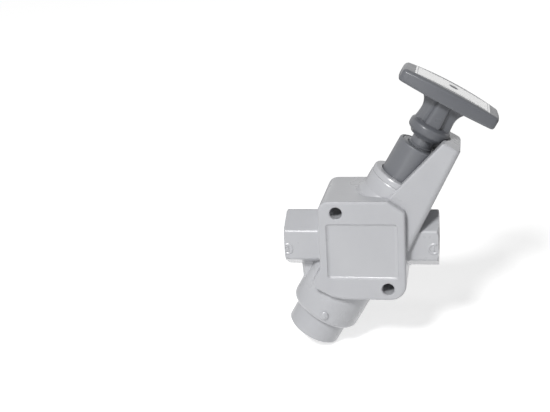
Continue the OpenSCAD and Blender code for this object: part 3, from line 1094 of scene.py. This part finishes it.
        # The web's rounded edge and side, then the rib's hollow foot and rounded crest.
        corner = [
            (half, 0.0), (half - 0.15, 0.5 * web), (half - 0.9, 0.85 * web),
            (half - 2.4, 0.98 * web), (rib + 3.2, web), (rib + 1.5, web + 0.4),
            (rib + 0.5, web + 1.4), (rib, deep - 1.9), (rib - 0.25, deep - 1.0),
            (rib - 0.9, deep - 0.3), (rib - 1.9, deep), (0.0, deep + 0.15),
        ]
        outline = corner + [(-r, s) for r, s in corner[-2::-1]]
        return outline + [(r, -s) for r, s in outline[-2:0:-1]]

    def neck(self) -> bpy.types.Object:
        """Build the flared web with its middle rib.

        Returns:
            The neck's solid, which reaches into the flange and the bar.
        """
        low = self.flange_top - self.neck_bury[0]
        high = self.bar_low + self.neck_bury[1]
        points: list[Vector] = []
        for k in range(self.neck_levels + 1):
            share = k / self.neck_levels
            station = low + share * (high - low)
            points += [on_axis(station, r, s) for r, s in self.neck_outline(share)]
        return ring_solid("neck", points, len(points) // (self.neck_levels + 1))

    def flange(self) -> bpy.types.Object:
        """Turn the flange that the fingers pull against.

        Returns:
            The flange's solid.
        """
        low = self.flange_low
        high = self.flange_top
        edge = self.flange_r
        # Radius and station, from the underside round the rim to the top.
        profile = [
            (3.0, low), (edge - 3.6, low), (edge - 3.0, low + 1.0), (edge - 2.4, low + 1.7),
            (edge - 0.7, low + 2.9), (edge - 0.15, low + 3.8), (edge, low + 4.8),
            (edge, high - 3.2), (edge - 0.12, high - 2.5), (edge - 0.5, high - 1.9),
            (edge - 1.1, high - 1.4), (edge - 2.3, high - 0.7), (edge - 3.2, high - 0.4),
            (3.0, high),
        ]
        return ring_solid("flange", turned(profile, self.flange_steps), self.flange_steps)

    def bore(self) -> bpy.types.Object:
        """Turn the stepped hole for the stem, the sleeve and the bolt's head.

        Returns:
            The solid that the hole takes out.
        """
        low = self.flange_low - self.bore_margin
        stem_end = self.flange_low + self.spigot_length
        high = self.bar_top + self.crown + self.bore_margin
        profile = [
            (self.spigot_r, low), (self.spigot_r, stem_end), (self.sleeve_r, stem_end),
            (self.sleeve_r, self.head_seat), (self.head_r, self.head_seat), (self.head_r, high),
        ]
        return ring_solid("bore", turned(profile, self.bore_steps, 0.5), self.bore_steps)

    def moulding(self) -> None:
        """Join bar, neck and flange into the one moulded handle, and bore it."""
        body = self.bar()
        for tool, operation in (
            (self.neck(), "UNION"), (self.flange(), "UNION"), (self.bore(), "DIFFERENCE"),
        ):
            join = body.modifiers.new("join", "BOOLEAN")
            join.operation = operation
            join.solver = "EXACT"
            join.object = tool
            mesh = evaluated_mesh(body)
            body.modifiers.clear()
            body.data = mesh
            bpy.data.objects.remove(tool)
        weld(body.data)
        body.name = "handle_moulding"
        body.data.name = "handle_moulding"
        body.data.materials.clear()
        shade_smooth(body, self.sharp_degrees)
        settle(body, Body.PLUNGER)
        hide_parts("handle_grip")
        self.palette.dress(body, MOULDED_NYLON)

    def skin(
        self, name: str, rows: list[list[tuple[float, float]]], low: float, high: float
    ) -> bpy.types.Object:
        """Build a thin sheet that follows the crowned top.

        Args:
            name: Name of the piece.
            rows: Rows of places, from one rim of the sheet to the other.
            low: Height of its underside over the bar's top.
            high: Height of its face over the bar's top.

        Returns:
            The sheet.
        """
        wide = len(rows[0])
        count = len(rows) * wide
        points = [
            on_axis(self.bar_top + lift + self.arch(r), r, s)
            for lift in (low, high)
            for row in rows
            for r, s in row
        ]
        faces: list[tuple[int, ...]] = []
        for i in range(len(rows) - 1):
            for j in range(wide - 1):
                a = i * wide + j
                faces.append((a, a + 1, a + wide + 1, a + wide))
                faces.append(tuple(count + n for n in (a, a + wide, a + wide + 1, a + 1)))
        rim = list(range(wide))
        rim += [i * wide + wide - 1 for i in range(1, len(rows))]
        rim += [count - wide + j for j in range(wide - 2, -1, -1)]
        rim += [i * wide for i in range(len(rows) - 2, 0, -1)]
        for k, a in enumerate(rim):
            b = rim[(k + 1) % len(rim)]
            faces.append((a, b, count + b, count + a))
        return mesh_piece(name, points, faces, Body.PLUNGER, False)

    def label(self) -> None:
        """Lay the plain label on the bar."""
        columns = self.label_columns
        along = [self.label_length * (i / columns - 0.5) for i in range(columns + 1)]
        rows = []
        for j in range(self.label_rows + 1):
            side = self.label_width * (j / self.label_rows - 0.5)
            rows.append([(r, side) for r in along])
        piece = self.skin("label_sheet", rows, -self.label_sink, self.label_lift)
        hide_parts("handle_label")
        self.palette.dress(piece, LABEL_FILM)

    def printed(
        self, name: str, rows: list[list[tuple[float, float]]], finish: Finish
    ) -> None:
        """Lay one thin film of ink on the label.

        Args:
            name: Name of the piece.
            rows: Rows of places, from one rim of the film to the other.
            finish: The ink.
        """
        piece = self.skin(name, rows, 0.0, self.label_lift + self.print_lift)
        self.palette.dress(piece, finish)

    def frame_line(self) -> None:
        """Print the plain frame on the label."""
        line = self.print_line
        half_l = self.label_length / 2.0 - self.print_inset
        half_w = self.label_width / 2.0 - self.print_inset
        columns = self.line_columns
        along = [half_l * (2.0 * i / columns - 1.0) for i in range(columns + 1)]
        for name, side in (("near", -half_w), ("far", half_w - line)):
            rows = [[(r, side + rise) for r in along] for rise in (0.0, line)]
            self.printed(f"label_line_{name}", rows, LABEL_INK)
        reach = half_w - line - self.print_gap
        for name, place in (("left", -half_l), ("right", half_l - line)):
            rows = [[(place + step, side) for step in (0.0, line)] for side in (-reach, reach)]
            self.printed(f"label_line_{name}", rows, LABEL_INK)

    def spot(self) -> None:
        """Print one plain dark spot in the middle of the label."""
        count = self.spot_columns
        rows = []
        for j in range(count + 1):
            side = self.spot_r * math.sin(math.pi * (j / count - 0.5))
            reach = math.sqrt(max(0.0, self.spot_r * self.spot_r - side * side))
            reach = max(self.spot_least, reach)
            rows.append([
                (reach * (2.0 * i / count - 1.0), self.spot_side + side) for i in range(count + 1)
            ])
        self.printed("label_spot", rows, SPOT_INK)


@dataclass
class Studio:
    """Camera, floor and lights. Places and sizes are in metres."""

    sensor_mm: float = 36.0
    focal_pixels: float = 963.87
    photo_pixels: float = 550.0
    place: Vector = field(default_factory=lambda: Vector((0.068901, -0.66564, 0.237636)))
    right: Vector = field(default_factory=lambda: Vector((0.98089, 0.18483, -0.06079)))
    up: Vector = field(default_factory=lambda: Vector((-0.0016, 0.32008, 0.94739)))
    near_clip: float = 0.01
    floor_z: float = -0.0812
    floor_half: float = 6.0
    # Distances between which the floor's glow changes, as the camera and as gloss see it.
    glow_reach: tuple[float, float] = (0.15, 1.5)
    glow: tuple[float, float] = (0.7, 0.88)
    sheen_reach: tuple[float, float] = (0.2, 0.36)
    sheen: tuple[float, float] = (1.0, 0.15)
    lamp_aim: Vector = field(default_factory=lambda: Vector((0.0, -0.03, 0.02)))
    world_light: float = 0.09

    def build(self) -> None:
        """Build the camera, the floor, the lamps and the world."""
        self.camera()
        self.floor()
        self.lamps()
        self.world()
        bpy.context.scene.view_settings.view_transform = "Standard"

    def camera(self) -> None:
        """Place the camera where the photographer stood."""
        data = bpy.data.cameras.new("camera")
        data.lens = self.sensor_mm * self.focal_pixels / self.photo_pixels
        data.sensor_width = self.sensor_mm
        data.sensor_fit = "HORIZONTAL"
        data.clip_start = self.near_clip
        camera = new_object("camera", data)
        back = self.right.cross(self.up).normalized()
        up = back.cross(self.right.normalized())
        turn = Matrix((self.right.normalized(), up, back)).transposed().to_4x4()
        camera.matrix_world = Matrix.Translation(self.place) @ turn
        bpy.context.scene.camera = camera

    def floor(self) -> None:
        """Lay a pale floor that keeps the object's shadow."""
        half = self.floor_half
        mesh = bpy.data.meshes.new("floor")
        corners = [(-half, -half), (half, -half), (half, half), (-half, half)]
        mesh.from_pydata([(x, y, self.floor_z) for x, y in corners], [], [(0, 1, 2, 3)])
        mesh.materials.append(self.paper())
        new_object("floor", mesh)

    def paper(self) -> bpy.types.Material:
        """Build the floor's paper: matt white, lit from below for the camera and for gloss.

        Returns:
            The floor's material.
        """
        material = bpy.data.materials.new("floor_paper")
        tree = fresh_tree(material)
        output = add_node(tree, "ShaderNodeOutputMaterial")
        paper = add_node(tree, "ShaderNodeBsdfDiffuse", {"Color": linear(Colour.FLOOR)})
        ray = add_node(tree, "ShaderNodeLightPath")
        place = add_node(tree, "ShaderNodeNewGeometry").outputs["Position"]
        reach = add_node(
            tree, "ShaderNodeVectorMath", None, {0: place}, operation="LENGTH"
        ).outputs["Value"]
        glows = []
        for kind, (near, far), (start, end) in (
            ("Is Camera Ray", self.glow_reach, self.glow),
            ("Is Glossy Ray", self.sheen_reach, self.sheen),
        ):
            glow = add_node(
                tree,
                "ShaderNodeMapRange",
                {"From Min": near, "From Max": far, "To Min": start, "To Max": end},
                {"Value": reach},
            ).outputs["Result"]
            glows.append(add_node(
                tree, "ShaderNodeMath", None, {0: glow, 1: ray.outputs[kind]}, operation="MULTIPLY"
            ).outputs[0])
        both = add_node(tree, "ShaderNodeMath", None, {0: glows[0], 1: glows[1]}, operation="ADD")
        white = add_node(
            tree, "ShaderNodeEmission", {"Color": (1, 1, 1, 1)}, {"Strength": both.outputs[0]}
        )
        mix = add_node(
            tree, "ShaderNodeAddShader", None, {0: paper.outputs[0], 1: white.outputs[0]}
        )
        tree.links.new(mix.outputs[0], output.inputs["Surface"])
        return material

    def lamps(self) -> None:
        """Hang the key at the upper left, a weak fill low down and one lamp overhead."""
        # Name, place, diameter in metres and power in watts.
        lamps = [
            ("key", Vector((-0.29, -1.13, 0.97)), 0.3, 16.0),
            ("low", Vector((-0.55, -1.25, 0.1)), 0.6, 1.3),
            ("crest", Vector((-0.2, -0.55, 1.42)), 0.3, 1.4),
        ]
        for name, place, size, power in lamps:
            data = bpy.data.lights.new(name, "AREA")
            data.shape = "DISK"
            data.size = size
            data.energy = power
            lamp = new_object(name, data)
            lamp.location = place
            lamp.rotation_euler = (self.lamp_aim - place).to_track_quat("-Z", "Y").to_euler()

    def world(self) -> None:
        """Light the scene softly and show white behind it."""
        world = bpy.data.worlds.new("studio")
        bpy.context.scene.world = world
        tree = fresh_tree(world)
        output = add_node(tree, "ShaderNodeOutputWorld")
        ray = add_node(tree, "ShaderNodeLightPath")
        shown = add_node(
            tree,
            "ShaderNodeMath",
            None,
            {0: ray.outputs["Is Camera Ray"], 1: ray.outputs["Is Glossy Ray"]},
            operation="MAXIMUM",
        )
        soft, white = (
            add_node(tree, "ShaderNodeBackground", {"Color": (1, 1, 1, 1), "Strength": strength})
            for strength in (self.world_light, 1.0)
        )
        mix = add_node(
            tree,
            "ShaderNodeMixShader",
            None,
            {0: shown.outputs[0], 1: soft.outputs[0], 2: white.outputs[0]},
        )
        tree.links.new(mix.outputs[0], output.inputs["Surface"])


def dress_nodes(palette: Palette) -> None:
    """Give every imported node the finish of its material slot.

    Args:
        palette: Where the finishes come from.
    """
    slots = {entry["node"]: entry["material_slot"] for entry in frame["record"]["subparts"]}
    for name, node in frame["nodes"].items():
        finish = SLOT_FINISH[slots[name]]
        palette.dress(node, finish)
        LOG.info("node %s: %s", name, finish.name)


def main() -> None:
    """Build the scene in order."""
    logging.basicConfig(level=logging.INFO, format="%(message)s")
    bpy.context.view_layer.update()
    palette = Palette()
    Studio().build()
    dress_nodes(palette)
    ValveBody(palette).build()
    Barrel(palette).build()
    Handle(palette).build()


if __name__ == "__main__":
    main()
